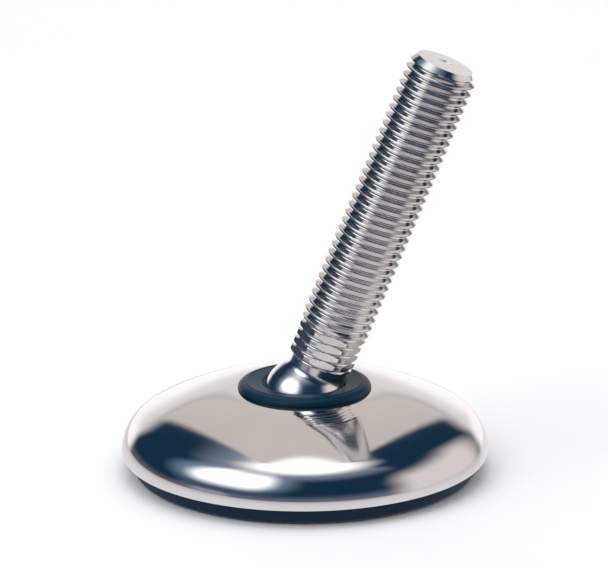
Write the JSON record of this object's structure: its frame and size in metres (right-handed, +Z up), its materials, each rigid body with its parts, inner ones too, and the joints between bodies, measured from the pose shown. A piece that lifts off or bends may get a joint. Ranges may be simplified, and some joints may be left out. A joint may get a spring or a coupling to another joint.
{
  "type": "furniture leveling foot",
  "caption": "Ball-jointed leveling foot: a threaded stem with spanner flats tilts and turns in a domed stainless base with a rubber tread.",
  "frame": {"origin": "centre of the tread on the floor", "axes": "+Z up along the base's axis; the stem leans towards +X, in the XZ plane"},
  "size_m": [0.1032, 0.1032, 0.1207],
  "materials": {
    "polished_stainless": "polished stainless steel, fine turning lines on the thread and end face",
    "dome_stainless": "polished stainless steel sheet",
    "hub_steel": "turned steel",
    "plate_steel": "zinc-plated sheet steel",
    "screw_steel": "zinc-plated",
    "spring_steel": "phosphated spring steel",
    "bearing_plastic": "natural acetal",
    "seal_rubber": "smooth dark blue-black rubber",
    "tread_rubber": "matte dark blue-black moulded rubber"
  },
  "bodies": {
    "base": {"dome_cover": "dome_stainless", "socket_hub": "hub_steel", "snap_ring": "spring_steel", "seal_ring": "seal_rubber", "base_plate": "plate_steel", "plate_screws": "screw_steel", "tread_pad": "tread_rubber"},
    "bush": {"retaining_bush": "bearing_plastic"},
    "cup": {"thrust_cup": "bearing_plastic"},
    "stem": {"stem": "polished_stainless"}
  },
  "joints": [
    {"name": "socket_swivel", "type": "hinge", "parent": "base", "child": "bush", "pos_m": [0, 0, 0.0206], "axis": [0, 0, 1], "continuous": true},
    {"name": "stem_tilt", "type": "hinge", "parent": "bush", "child": "cup", "pos_m": [0, 0, 0.0206], "axis": [0, 1, 0], "range_deg": [-47, 3]},
    {"name": "stem_spin", "type": "hinge", "parent": "cup", "child": "stem", "pos_m": [0, 0, 0.0206], "axis": [0.3746, 0, 0.9272], "continuous": true}
  ]
}
